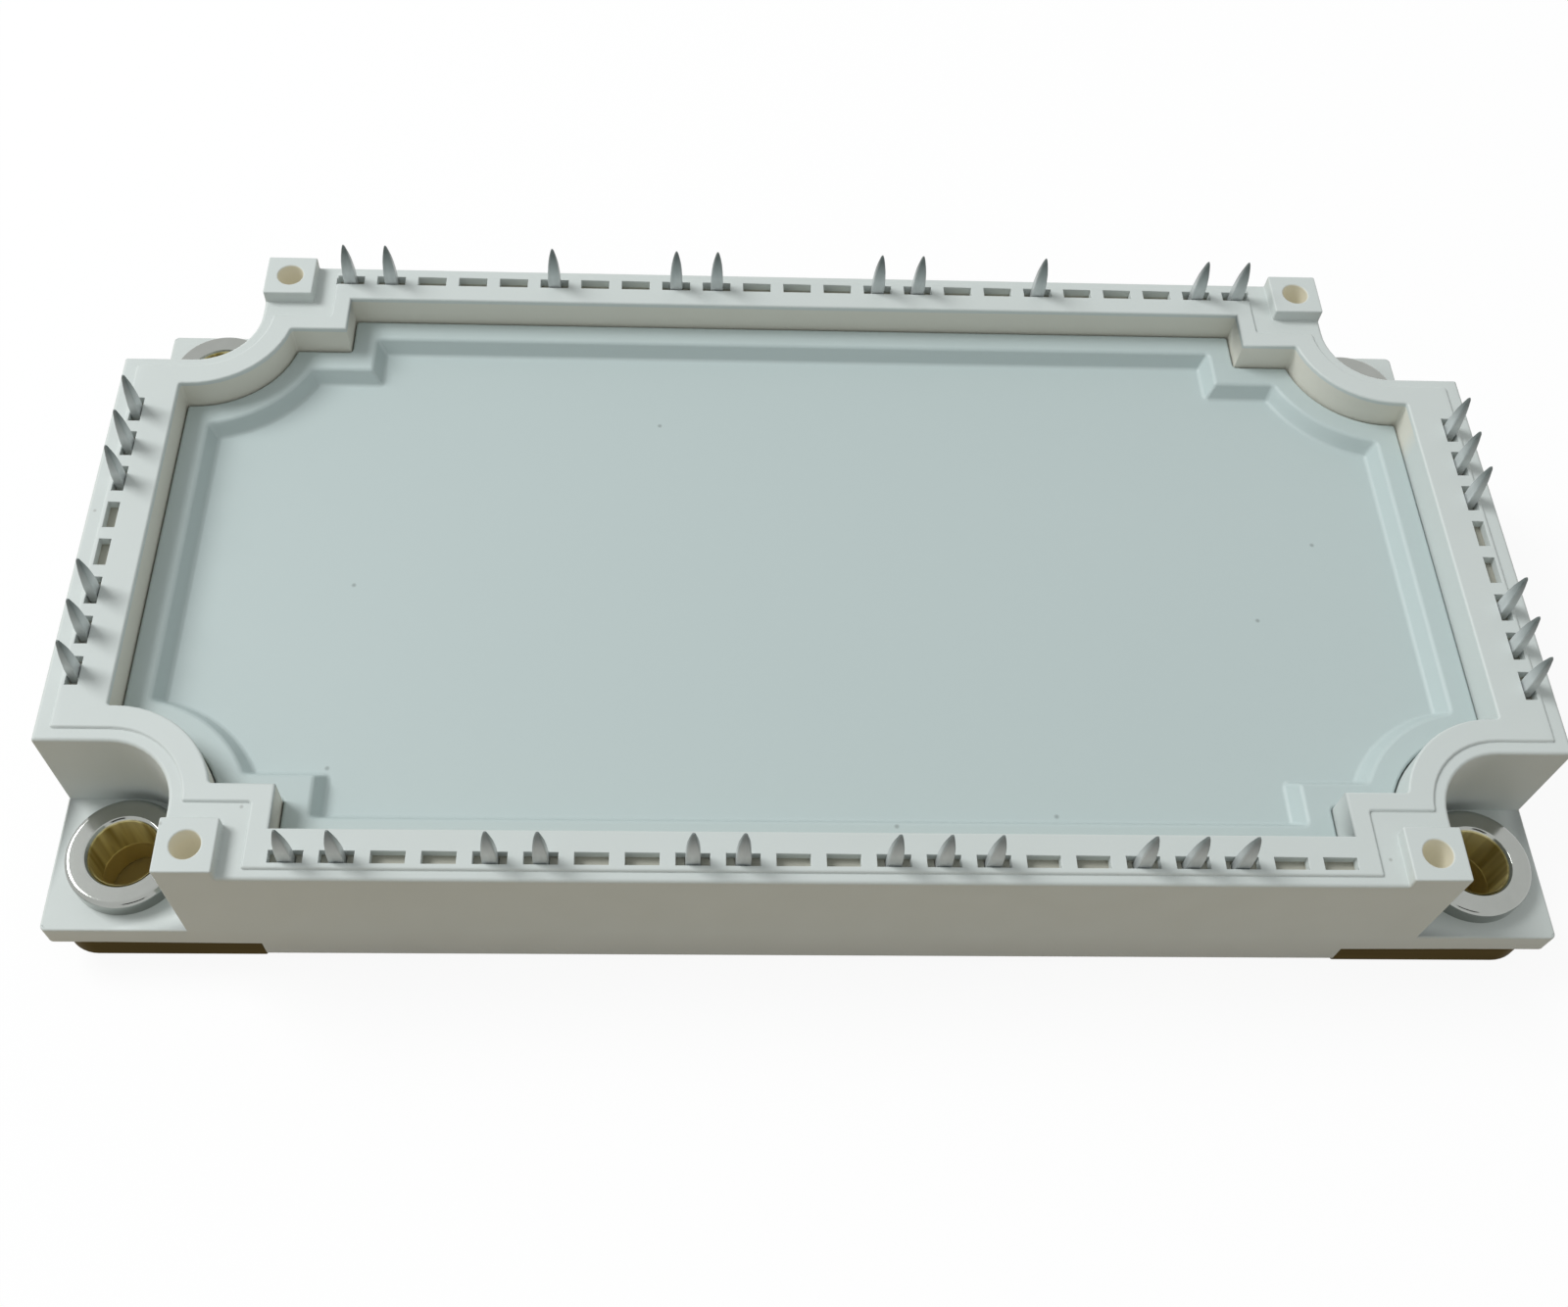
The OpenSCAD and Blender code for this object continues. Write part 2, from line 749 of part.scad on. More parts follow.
frame();
lid();
baseplate();
adhesive_bead();
silicone_gel();
corner_bush(-1, -1);  // bush_front_left
corner_bush(1, -1);  // bush_front_right
corner_bush(-1, 1);  // bush_back_left
corner_bush(1, 1);  // bush_back_right
ceramic(0);  // ceramic_left
ceramic(1);  // ceramic_centre
ceramic(2);  // ceramic_right
back_copper(0);  // back_copper_left
back_copper(1);  // back_copper_centre
back_copper(2);  // back_copper_right
circuit_copper(0);  // circuit_copper_left
circuit_copper(1);  // circuit_copper_centre
circuit_copper(2);  // circuit_copper_right
color("#5a6066") dies([1, 2], [0, 1, 2], [0]);  // inverter_igbt_dies
color("#7a8086") dies([1, 2], [0, 1, 2], [1]);  // inverter_diode_dies
color("#6f7478") dies([0], [0, 1, 2], [1, 2]);  // rectifier_dies
color("#5f6468") dies([0], [0, 1], [0]);  // brake_dies
thermistor();
bond_wires();
for (i = [0 : len(front_pins) - 1])
    row_pin(-1, pin_at(front_pins[i]));
for (i = [0 : len(back_pins) - 1])
    row_pin(1, pin_at(back_pins[i]));
for (i = [0 : len(column_pins) - 1]) {
    column_pin(-1, pin_at(column_pins[i]));
    column_pin(1, pin_at(column_pins[i]));
}
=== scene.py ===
import math

import bmesh
import bpy
from mathutils import Matrix, Vector


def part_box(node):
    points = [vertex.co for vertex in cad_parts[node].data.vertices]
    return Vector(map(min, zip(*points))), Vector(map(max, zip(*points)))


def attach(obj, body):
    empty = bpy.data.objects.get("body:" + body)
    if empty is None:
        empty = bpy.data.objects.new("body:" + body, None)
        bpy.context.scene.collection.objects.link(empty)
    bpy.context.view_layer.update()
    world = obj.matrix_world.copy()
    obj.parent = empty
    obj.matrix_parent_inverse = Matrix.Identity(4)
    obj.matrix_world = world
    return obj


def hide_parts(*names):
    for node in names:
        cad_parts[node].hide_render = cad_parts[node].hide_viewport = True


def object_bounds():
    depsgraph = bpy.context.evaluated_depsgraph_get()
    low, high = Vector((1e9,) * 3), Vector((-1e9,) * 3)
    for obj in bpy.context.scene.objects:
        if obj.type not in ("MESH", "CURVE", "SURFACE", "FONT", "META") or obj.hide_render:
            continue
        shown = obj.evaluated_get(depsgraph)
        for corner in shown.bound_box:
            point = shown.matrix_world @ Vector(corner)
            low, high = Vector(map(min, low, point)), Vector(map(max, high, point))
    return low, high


bl_info = {
    "name": "Power module looks",
    "version": (1, 0, 0),
    "blender": (4, 5, 0),
    "location": "View3D > Sidebar > Power module",
    "description": "Dresses a pin-type power module and sets up a plain studio",
    "category": "Object",
}

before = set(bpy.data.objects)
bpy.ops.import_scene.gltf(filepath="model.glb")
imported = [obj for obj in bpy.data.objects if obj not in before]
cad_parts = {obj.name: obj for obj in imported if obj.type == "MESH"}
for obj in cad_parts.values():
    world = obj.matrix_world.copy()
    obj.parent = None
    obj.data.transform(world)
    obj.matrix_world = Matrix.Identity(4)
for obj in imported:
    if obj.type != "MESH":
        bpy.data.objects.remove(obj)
CAD_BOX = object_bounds()
MM = 0.001
BODY = "root"

BUSHES = ("bush_front_left", "bush_front_right", "bush_back_left", "bush_back_right")
# The sides with pins, and how far each is turned from the front, in degrees
PIN_SIDES = {"pin_front_": 0.0, "pin_right_": 90.0, "pin_back_": 180.0, "pin_left_": -90.0}
PINS = [name for name in sorted(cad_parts) if name.startswith(tuple(PIN_SIDES))]

# Levels and edges of the module, in metres, read off the solids
FRAME_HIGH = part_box("frame")[1]
LID_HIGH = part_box("lid")[1]
BUSH_LOW, BUSH_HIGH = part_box("bush_front_left")
BUSH_CENTRE = (BUSH_LOW + BUSH_HIGH) / 2
PIN_LOW, PIN_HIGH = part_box(PINS[0])

# Sizes that the solids have and their boxes don't show: heights of the domes, of the
# raised panel and of a bush's head, radius of its barrel, and the middle of a dome
DOME_RISE = 1.0 * MM
PANEL_RISE = 0.25 * MM
BUSH_HEAD = 1.8 * MM
BUSH_BARREL = 3.8 * MM
SCREW_DOME = Vector((47.25, 28.75, 0)) * MM
PAD_TOP = FRAME_HIGH.z
FRAME_TOP = PAD_TOP - DOME_RISE
FLANGE_TOP = BUSH_HIGH.z - BUSH_HEAD

# The pins' slots: the middle of a row or column, half a slot's width, the farthest
# slot of each from the middle, and where the columns begin
PIN_ROW = FRAME_HIGH.y - 1.8 * MM
PIN_COLUMN = FRAME_HIGH.x - 2.2 * MM
SLOT_HALF = 0.6 * MM
ROW_REACH = 43 * MM
COLUMN_REACH = 17 * MM
COLUMN_START = 57 * MM

# An upright plane through the mounting holes, off the ends of the pockets' arcs
CUT_AT_HOLES = abs(BUSH_CENTRE.x) + 0.9 * MM

# Half the width of a crisp and of a softer change of finish
CRISP = 0.05 * MM
SOFT = 0.1 * MM


# ----------------------------------------------------------------- shader maths


def add_node(tree, kind, settings=None, inputs=None):
    """A new node, whose settings are set first and whose sockets take values or links."""
    node = tree.nodes.new(kind)
    for name, value in (settings or {}).items():
        setattr(node, name, value)
    for key, value in (inputs or {}).items():
        if isinstance(value, Term):
            value = value.socket
        if isinstance(value, bpy.types.NodeSocket):
            tree.links.new(value, node.inputs[key])
        else:
            node.inputs[key].default_value = value
    return node


class Term:
    """A shader socket that takes part in Python arithmetic."""

    def __init__(self, shading, socket):
        self.shading = shading
        self.socket = socket

    def math(self, operation, *values, **settings):
        """What a Math node makes of the values."""
        settings["operation"] = operation
        return self.shading.node("ShaderNodeMath", settings, dict(enumerate(values)))

    def __add__(self, other):
        return self.math("ADD", self, other)

    def __sub__(self, other):
        return self.math("SUBTRACT", self, other)

    def __rsub__(self, other):
        return self.math("SUBTRACT", other, self)

    def __mul__(self, other):
        return self.math("MULTIPLY", self, other)

    def __pow__(self, other):
        return self.math("POWER", self, other)

    def __abs__(self):
        return self.math("ABSOLUTE", self)

    __radd__ = __add__
    __rmul__ = __mul__

    def below(self, edge, soft):
        """1 well below the edge, 0 well above it, changing over twice the width soft."""
        slope = 0.5 / soft
        return self.math("MULTIPLY_ADD", self, -slope, 0.5 + slope * edge, use_clamp=True)

    def above(self, edge, soft):
        """0 well below the edge, 1 well above it, changing over twice the width soft."""
        slope = 0.5 / soft
        return self.math("MULTIPLY_ADD", self, slope, 0.5 - slope * edge, use_clamp=True)


class Shading:
    """Shader nodes in one tree, a material's or the world's."""

    def __init__(self, tree):
        self.tree = tree
        tree.nodes.clear()

    def node(self, kind, settings=None, inputs=None, output=0):
        """That output of a new node as a Term, or the node where output is None."""
        node = add_node(self.tree, kind, settings, inputs)
        return node if output is None else Term(self, node.outputs[output])

    def background_ray(self):
        """1 where the camera or a mirror-like or clear surface looks at it, 0 where it
        lights the object."""
        path = self.node("ShaderNodeLightPath", output=None)
        seen = Term(self, path.outputs["Is Camera Ray"])
        for ray in ("Is Glossy Ray", "Is Transmission Ray"):
            seen = seen.math("MAXIMUM", seen, Term(self, path.outputs[ray]))
        return seen


class Finish(Shading):
    """A procedural material on Object coordinates, in metres."""

    def __init__(self, name):
        self.material = bpy.data.materials.new(name)
        self.material.use_nodes = True
        super().__init__(self.material.node_tree)
        self.point = self.node("ShaderNodeTexCoord", output="Object")
        split = self.node("ShaderNodeSeparateXYZ", inputs={0: self.point}, output=None)
        self.x, self.y, self.z = (Term(self, split.outputs[i]) for i in range(3))

    def noise(self, size, detail=2.0, stretch=None):
        """Noise from 0 to 1 whose lumps are about that size in metres."""
        point = self.point
        if stretch:
            point = self.node("ShaderNodeMapping", inputs={0: point, "Scale": stretch})
        return self.node(
            "ShaderNodeTexNoise",
            inputs={0: point, "Scale": 1 / size, "Detail": detail, "Roughness": 0.5},
        )

    def specks(self, spacing, radius, share):
        """1 on small round specks on level faces; only a share of the cells has one."""
        cells = self.node(
            "ShaderNodeTexVoronoi",
            {"voronoi_dimensions": "2D"},
            {0: self.point, "Scale": 1 / spacing},
            output=None,
        )
        off_centre = Term(self, cells.outputs["Distance"])
        colour = Term(self, cells.outputs["Color"])
        chance = self.node("ShaderNodeSeparateColor", inputs={0: colour})
        edge = radius / spacing
        return off_centre.below(edge, edge / 2) * chance.below(share, 0.001)

    def mix(self, factor, first, second):
        """Between two colours, each a Term or a tuple."""
        return self.node(
            "ShaderNodeMix",
            {"data_type": "RGBA"},
            {0: factor, 6: opaque(first), 7: opaque(second)},
            output=2,
        )

    def bump(self, height, depth, strength, under=None):
        """A normal for a height from 0 to 1 that stands for that depth in metres."""
        inputs = {"Height": height, "Distance": depth, "Strength": strength}
        if under:
            inputs["Normal"] = under
        return self.node("ShaderNodeBump", inputs=inputs)

    def surface(self, **values):
        """The finish's shader, with values by the Principled shader's socket names."""
        shader = self.node(
            "ShaderNodeBsdfPrincipled",
            inputs={name.replace("_", " "): value for name, value in values.items()},
        )
        self.node("ShaderNodeOutputMaterial", inputs={0: shader}, output=None)
        return self.material


def opaque(colour):
    """A colour as a socket takes it: a Term as it is, a tuple with an alpha of 1."""
    return colour if isinstance(colour, Term) else (*colour[:3], 1.0)


def linear(red, green, blue):
    """A colour given from 0 to 255 as it is seen, as the linear values that nodes take."""
    return tuple(
        c / 12.92 if c <= 0.04045 else ((c + 0.055) / 1.055) ** 2.4
        for c in (v / 255 for v in (red, green, blue))
    )


# --------------------------------------------------------------------- finishes


def housing_finish(colour, grain):
    """Matt moulded plastic: fine spark-eroded grain, slow changes of shade, painted shade
    at the foot and in the slots, and painted light on the walls about the lid and in the
    dome holes.
    """
    f = Finish("moulded_housing")
    cloud = f.noise(22 * MM, detail=3)
    haze = f.noise(3.5 * MM, detail=4)
    shade = f.mix(0.12 * cloud + 0.06 * haze, colour, linear(176, 178, 168))
    # Painted shade: darker and warmer towards the bottom, standing in for the shade and the
    # warm light near the floor
    foot = f.z.below(3.2 * MM, 2.6 * MM)
    shade = f.mix(0.35 * foot, shade, linear(170, 163, 146))
    # Painted light: a lighter, warmer colour on the shaded walls about the lid
    shade = f.mix(0.6 * painted_light_on_lid_walls(f), shade, linear(224, 217, 200))
    # Painted shade with dirt: the floors of the pins' slots are darker and warmer
    shade = f.mix(0.7 * slot_shade_and_dirt(f), shade, linear(170, 165, 147))
    top = f.z.above(FRAME_TOP - 0.6 * MM, SOFT)
    dust = f.specks(5.5 * MM, 0.13 * MM, 0.06) * top
    shade = f.mix(0.4 * dust, shade, linear(120, 118, 110))
    # Painted light: the holes of the screw domes get a beige colour and a glow, standing in
    # for the light that comes through their thin walls
    in_hole = dome_holes(f)
    shade = f.mix(0.8 * in_hole, shade, linear(188, 180, 157))
    glow = f.mix(in_hole, (0, 0, 0), linear(104, 102, 90))
    tooth = f.noise(0.16 * MM, detail=2)
    sweep = f.noise(7 * MM, detail=1)
    grained = f.bump(tooth, 0.012 * MM, grain)
    return f.surface(
        Base_Color=shade,
        Roughness=0.46 + 0.10 * haze + 0.06 * tooth,
        Normal=f.bump(sweep, 0.03 * MM, 0.25, under=grained),
        Emission_Color=glow,
        Emission_Strength=1.0,
        Specular_IOR_Level=0.42,
    )


def painted_light_on_lid_walls(f):
    """1 on the walls about the lid, which are painted lighter and warmer: painted light on
    these walls in shade. It leaves out the ones beside the pockets and on the right, where
    the lamp shines in."""
    half_length, half_width, low = 57.2 * MM, 28.4 * MM, 12 * MM
    walls = inside_box(f, half_length, half_width, low, FRAME_TOP - 0.45 * MM)
    pocket_reach = 7 * MM
    off_pockets = distance(f, BUSH_CENTRE).above(pocket_reach, SOFT)
    lit_from, lit_up_to = 37 * MM, 13 * MM
    lit = f.x.above(lit_from, 1.5 * MM) * f.y.below(lit_up_to, 1 * MM)
    return walls * off_pockets * (1.0 - lit)


def slot_shade_and_dirt(f):
    """1 on the floors of the pins' slots, which are painted darker: painted shade in the
    recess, with dirt.
    """
    low, high = 14.4 * MM, FRAME_TOP - 0.85 * MM
    rows = inside_box(f, ROW_REACH, PIN_ROW + SLOT_HALF, low, high)
    rows = rows * abs(f.y).above(PIN_ROW - SLOT_HALF, CRISP)
    columns = inside_box(f, PIN_COLUMN + SLOT_HALF, COLUMN_REACH, low, high)
    columns = columns * abs(f.x).above(PIN_COLUMN - SLOT_HALF, CRISP)
    return rows + columns


def dome_holes(f):
    """1 in the blind holes of the screw domes."""
    radius, low = 1.2 * MM, 7.5 * MM
    return distance(f, SCREW_DOME).below(radius, CRISP) * f.z.above(low, SOFT)


def inside_box(f, x, y, low, high):
    """1 within the distances x and y of the middle, between two levels."""
    wide = abs(f.x).below(x, CRISP) * abs(f.y).below(y, CRISP)
    return wide * f.z.above(low, CRISP) * f.z.below(high, CRISP)


def distance(f, centre):
    """Distance in the plane from the nearest of the four places that mirror that one."""
    across = abs(f.x) - abs(centre.x)
    along = abs(f.y) - abs(centre.y)
    return (across * across + along * along) ** 0.5


def lid_finish(colour, grain):
    """The lid's smoother plastic, with a few specks of dust and faint flow clouds."""
    f = Finish("moulded_lid")
    flow = f.noise(30 * MM, detail=2, stretch=(0.5, 1.4, 1.0))
    haze = f.noise(2.2 * MM, detail=4)
    shade = f.mix(0.12 * flow + 0.05 * haze, colour, linear(170, 186, 186))
    dust = f.specks(6.5 * MM, 0.17 * MM, 0.05)
    shade = f.mix(0.5 * dust, shade, linear(104, 110, 108))
    tooth = f.noise(0.18 * MM, detail=2)
    sag = f.noise(18 * MM, detail=1)
    grained = f.bump(tooth, 0.010 * MM, grain)
    return f.surface(
        Base_Color=shade,
        Roughness=0.40 + 0.10 * haze + 0.05 * tooth,
        Normal=f.bump(sag, 0.06 * MM, 0.3, under=grained),
        Specular_IOR_Level=0.45,
    )


def bush_finish():
    """Grey nickel on the head, bare drawn brass with turning lines in the bore."""
    f = Finish("bush_nickel_and_brass")
    bore_edge = 2.84 * MM
    bore = distance(f, BUSH_CENTRE).below(bore_edge, CRISP)
    turning = f.noise(0.5 * MM, detail=3, stretch=(0.3, 0.3, 4.0))
    tarnish = f.noise(1.6 * MM, detail=3)
    nickel = f.mix(0.4 * tarnish, linear(166, 169, 165), linear(138, 141, 135))
    drawn = f.noise(1.3 * MM, detail=2, stretch=(1.0, 1.0, 0.06)).above(0.5, 0.1)
    brass = f.mix(drawn, linear(184, 170, 108), linear(246, 238, 188))
    duller = bore * (0.38 + 0.08 * turning + 0.06 * drawn)
    return f.surface(
        Base_Color=f.mix(bore, nickel, brass),
        Metallic=1.0,
        Roughness=0.10 + 0.03 * tarnish + duller,
        Normal=f.bump(turning, 0.01 * MM, 0.5),
    )


def pin_finish():
    """Tin-plated copper alloy: dull grey, a little streaky, darker towards the point."""
    f = Finish("pin_tin")
    streak = f.noise(0.6 * MM, detail=3, stretch=(1.0, 1.0, 0.25))
    tin = f.mix(streak, linear(176, 182, 182), linear(212, 217, 217))
    dulled, fade = 1.9 * MM, 1.3 * MM
    point = f.z.above(PIN_HIGH.z - dulled, fade)
    return f.surface(
        Base_Color=f.mix(0.85 * point, tin, linear(86, 94, 92)),
        Metallic=0.4,
        Roughness=0.34 + 0.18 * streak,
        Normal=f.bump(streak, 0.01 * MM, 0.4),
    )


def plate_finish():
    """Dull nickel plate over copper, with rolled scratches underneath. Painted shade makes
    it a dark warm brown but on the underside, which keeps a paler nickel.
    """
    f = Finish("baseplate_nickel")
    rolled = f.noise(0.7 * MM, detail=4, stretch=(0.04, 1.0, 1.0))
    stain = f.noise(9 * MM, detail=4)
    # Painted shade: the nickel's colour is a dark warm brown here
    metal = f.mix(stain, linear(58, 50, 35), linear(72, 63, 46))
    metal = f.mix(0.35 * rolled, metal, linear(48, 41, 29))
    underside = f.z.below(0.03 * MM, 0.02 * MM)
    metal = f.mix(underside, metal, linear(158, 152, 138))
    hole_edge = 3.4 * MM
    drilled = distance(f, BUSH_CENTRE).below(hole_edge, SOFT)
    metal = f.mix(drilled, metal, linear(240, 228, 178))
    return f.surface(
        Base_Color=metal,
        Metallic=1.0,
        Specular_Tint=(0.55, 0.5, 0.42, 1),
        Roughness=0.34 + 0.16 * rolled + 0.08 * stain,
        Normal=f.bump(rolled, 0.008 * MM, 0.5),
    )


# The sealed pieces, by the starts of their names: the finish's name, its two tones,
# the size of its clouds, Metallic, Roughness and, where it is coarse, the bumps' depth
INSIDE = {
    ("ceramic_",): ("white_ceramic", (232, 230, 222), (240, 239, 233), 0.6 * MM, 0.0, 0.55),
    ("back_copper_", "circuit_copper_"): (
        "copper_track", (186, 116, 76), (206, 140, 98), 1.2 * MM, 0.95, 0.3,
    ),
    ("inverter_", "rectifier_dies", "brake_dies"): (
        "silicon_die", (84, 88, 96), (112, 116, 122), 2 * MM, 0.3, 0.25,
    ),
    ("thermistor",): ("sensor_glaze", (48, 60, 78), (64, 76, 92), 0.8 * MM, 0.0, 0.2),
    ("bond_wires",): (
        "aluminium_wire", (196, 197, 200), (216, 217, 219), 0.4 * MM, 0.95, 0.3,
    ),
    ("silicone_gel",): ("clear_gel", (206, 214, 212), (216, 222, 220), 6 * MM, 0.0, 0.15),
    ("adhesive_bead",): (
        "white_adhesive", (222, 222, 216), (232, 232, 228), 0.8 * MM, 0.0, 0.5, 0.03 * MM,
    ),
}


def plain_finish(name, first, second, size, metallic, roughness, depth=0.01 * MM):
    """A two-tone finish for the sealed pieces inside."""
    f = Finish(name)
    tone = f.noise(size, detail=3)
    return f.surface(
        Base_Color=f.mix(tone, linear(*first), linear(*second)),
        Metallic=metallic,
        Roughness=roughness + 0.1 * tone,
        Normal=f.bump(tone, depth, 0.4),
    )


# ------------------------------------------------------------------- mesh tools


def mesh_object(name, mesh):
    """A new object for that mesh, in the scene."""
    made = bpy.data.objects.new(name, mesh)
    bpy.context.scene.collection.objects.link(made)
    return made


def from_body(name, body, sharp=None):
    """An object from a bmesh, which it uses up. Where an angle in degrees is given, it
    is shaded smooth but for edges sharper than that."""
    mesh = bpy.data.meshes.new(name)
    body.to_mesh(mesh)
    body.free()
    if sharp is not None:
        mesh.shade_smooth()
        mesh.set_sharp_from_angle(angle=math.radians(sharp))
    return mesh_object(name, mesh)


def rectangle(name, half_x, half_y, z=0.0):
    """A level rectangle about the middle."""
    corners = [(-half_x, -half_y), (half_x, -half_y), (half_x, half_y), (-half_x, half_y)]
    mesh = bpy.data.meshes.new(name)
    mesh.from_pydata([(x, y, z) for x, y in corners], [], [(0, 1, 2, 3)])
    return mesh_object(name, mesh)


def settle(made, name):
    """The object with its modifiers as a plain mesh, under the final name."""
    bpy.context.view_layer.update()
    graph = bpy.context.evaluated_depsgraph_get()
    mesh = bpy.data.meshes.new_from_object(made.evaluated_get(graph))
    bpy.data.objects.remove(made)
    mesh.name = name
    return mesh_object(name, mesh)


def hand_over(piece, material, slot, *nodes):
    """Gives the piece its finish and its body, and hides the nodes that it replaces. The
    slot is not used.
    """
    piece.data.materials.clear()
    piece.data.materials.append(material)
    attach(piece, BODY)
    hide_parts(*nodes)


def cut_level_faces(body, cuts):
    """Cuts the level faces across every hole in them, since a mesh face can't have
    holes. cuts are (axis, place); the new edges are marked as seams."""
    for axis, place in cuts:
        level = [face for face in body.faces if is_level(face)]
        parts = dict.fromkeys(part for face in level for part in (*face.verts, *face.edges))
        across = Vector((axis == 0, axis == 1, 0))
        cut = bmesh.ops.bisect_plane(
            body,
            geom=level + list(parts),
            dist=1e-7,
            plane_co=across * place,
            plane_no=across,
        )
        for edge in cut["geom_cut"]:
            if isinstance(edge, bmesh.types.BMEdge):
                edge.seam = True


def is_level(face):
    return abs(face.normal.z) > 0.999


def is_upright(face):
    return abs(face.normal.z) < 0.3


def height(face):
    """How far the face reaches upright."""
    levels = [v.co.z for v in face.verts]
    return max(levels) - min(levels)


# Points within this distance are one, faces within this angle are one plane, and
# edges bent by more than this angle are rounded
SAME_POINT = 0.002 * MM
SAME_PLANE = math.radians(0.8)
SHARP_FROM = math.radians(25)


def rounded_copy(node, name, radius_at, cuts):
    """A copy of a CAD node whose sharp edges are rounded. radius_at gives the
    radius for an edge's middle, its direction and the height of the upright
    face beside it, all in metres."""
    body = bmesh.new()
    body.from_mesh(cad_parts[node].data)
    bmesh.ops.remove_doubles(body, verts=body.verts, dist=SAME_POINT)
    cut_level_faces(body, cuts)
    bmesh.ops.dissolve_limit(
        body,
        angle_limit=SAME_PLANE,
        verts=body.verts,
        edges=body.edges,
        delimit={"SEAM"},
    )
    weight = body.edges.layers.float.new("bevel_weight_edge")
    widest = 0.0
    for edge in body.edges:
        if len(edge.link_faces) == 2 and edge.calc_face_angle(0.0) > SHARP_FROM:
            a, b = (v.co for v in edge.verts)
            drop = max(map(height, filter(is_upright, edge.link_faces)), default=0)
            edge[weight] = radius_at((a + b) / 2, (b - a).normalized(), drop)
            edge.smooth = edge[weight] > 0
            widest = max(widest, edge[weight])
    for edge in body.edges:
        edge[weight] /= widest
    for face in body.faces:
        face.smooth = True
    made = from_body(name + "_raw", body)
    bevel = made.modifiers.new("Rounded edges", "BEVEL")
    bevel.limit_method = "WEIGHT"
    bevel.width = widest
    bevel.segments = 3
    bevel.use_clamp_overlap = False
    bevel.miter_outer = "MITER_ARC"
    shading = made.modifiers.new("Flat faces stay flat", "WEIGHTED_NORMAL")
    shading.weight = 100
    shading.keep_sharp = True
    return settle(made, name)


# Radii of the rounded edges
CORNER_EDGE = 0.2 * MM
DOME_EDGE = 0.16 * MM
WALL_EDGE = 0.2 * MM
PANEL_EDGE = 0.22 * MM
PANEL_SLOT_EDGE = 0.06 * MM
MARGIN_EDGE = 0.32 * MM
MARGIN_SLOT_EDGE = 0.05 * MM
FLANGE_EDGE = 0.18 * MM
LID_EDGE = 0.28 * MM
PLATE_EDGE = 0.15 * MM


def frame_radius(middle, way, drop):
    """Rounding of the housing's edges: most outside, least on steps and slots."""
    x, y, z = abs(middle.x), abs(middle.y), middle.z
    near, side = 0.1 * MM, 0.2 * MM
    deep, shallow = drop > 1.5 * MM, drop < 0.5 * MM
    if abs(way.z) > 0.9:
        in_slot = x < ROW_REACH or x > COLUMN_START and y < COLUMN_REACH
        return CORNER_EDGE if z > FLANGE_TOP and not in_slot else 0.0
    if z > PAD_TOP - near:
        return DOME_EDGE
    if z > FRAME_TOP - near:
        return WALL_EDGE if deep else PANEL_EDGE if shallow else PANEL_SLOT_EDGE
    if z > FRAME_TOP - PANEL_RISE - near:
        return MARGIN_EDGE if deep else MARGIN_SLOT_EDGE
    outside = y > FRAME_HIGH.y - side or x > FRAME_HIGH.x - side
    return FLANGE_EDGE if z < FLANGE_TOP + near and outside else 0.0


def lid_radius(middle, way, drop):
    """Soft edges on the slope between the border and the field, none underneath."""
    return LID_EDGE if middle.z > LID_HIGH.z - 2 * MM else 0.0


def plate_radius(middle, way, drop):
    """The same on every edge of the baseplate."""
    return PLATE_EDGE


def revolved(name, profile, steps):
    """A closed ring about Z from a closed outline of (radius, height) points."""
    body = bmesh.new()
    turns = [2 * math.pi * k / steps for k in range(steps)]
    rings = [
        [body.verts.new((r * math.cos(t), r * math.sin(t), z)) for r, z in profile]
        for t in turns
    ]
    for here, there in zip(rings, rings[1:] + rings[:1]):
        join_rings(body, here, there)
    bmesh.ops.recalc_face_normals(body, faces=body.faces)
    return from_body(name, body, sharp=50)


def join_rings(body, here, there):
    """Faces between two closed rings of as many vertices."""
    for i in range(len(here)):
        j = (i + 1) % len(here)
        body.faces.new((here[i], here[j], there[j], there[i]))


def arc(cx, cz, radius, start, end, steps):
    """Points on an arc of an outline, angles in degrees."""
    turns = [math.radians(start + (end - start) * k / steps) for k in range(steps + 1)]
    return [(cx + radius * math.cos(t), cz + radius * math.sin(t)) for t in turns]


# --------------------------------------------------------------- geometry nodes


class NodeTree:
    """A geometry node tree with named inputs."""

    def __init__(self, name, inputs):
        self.tree = bpy.data.node_groups.new(name, "GeometryNodeTree")
        face = self.tree.interface
        face.new_socket("Geometry", in_out="INPUT", socket_type="NodeSocketGeometry")
        face.new_socket("Geometry", in_out="OUTPUT", socket_type="NodeSocketGeometry")
        self.identifiers = {
            label: face.new_socket(label, in_out="INPUT", socket_type=kind).identifier
            for label, kind in inputs.items()
        }
        self.given = self.tree.nodes.new("NodeGroupInput")
        self.result = self.tree.nodes.new("NodeGroupOutput")

    def node(self, kind, settings=None, inputs=None):
        """A new node in this tree."""
        return add_node(self.tree, kind, settings, inputs)

    def finish(self, geometry, material):
        """Ends the tree with real meshes in that material."""
        whole = self.node("GeometryNodeRealizeInstances", inputs={0: geometry})
        painted = self.node(
            "GeometryNodeSetMaterial", inputs={0: whole.outputs[0], "Material": material}
        )
        self.tree.links.new(painted.outputs[0], self.result.inputs[0])

    def run(self, made, name, values):
        """The tree's result on that object, as a plain mesh object."""
        modifier = made.modifiers.new(self.tree.name, "NODES")
        modifier.node_group = self.tree
        for label, value in values.items():
            modifier[self.identifiers[label]] = value
        return settle(made, name)


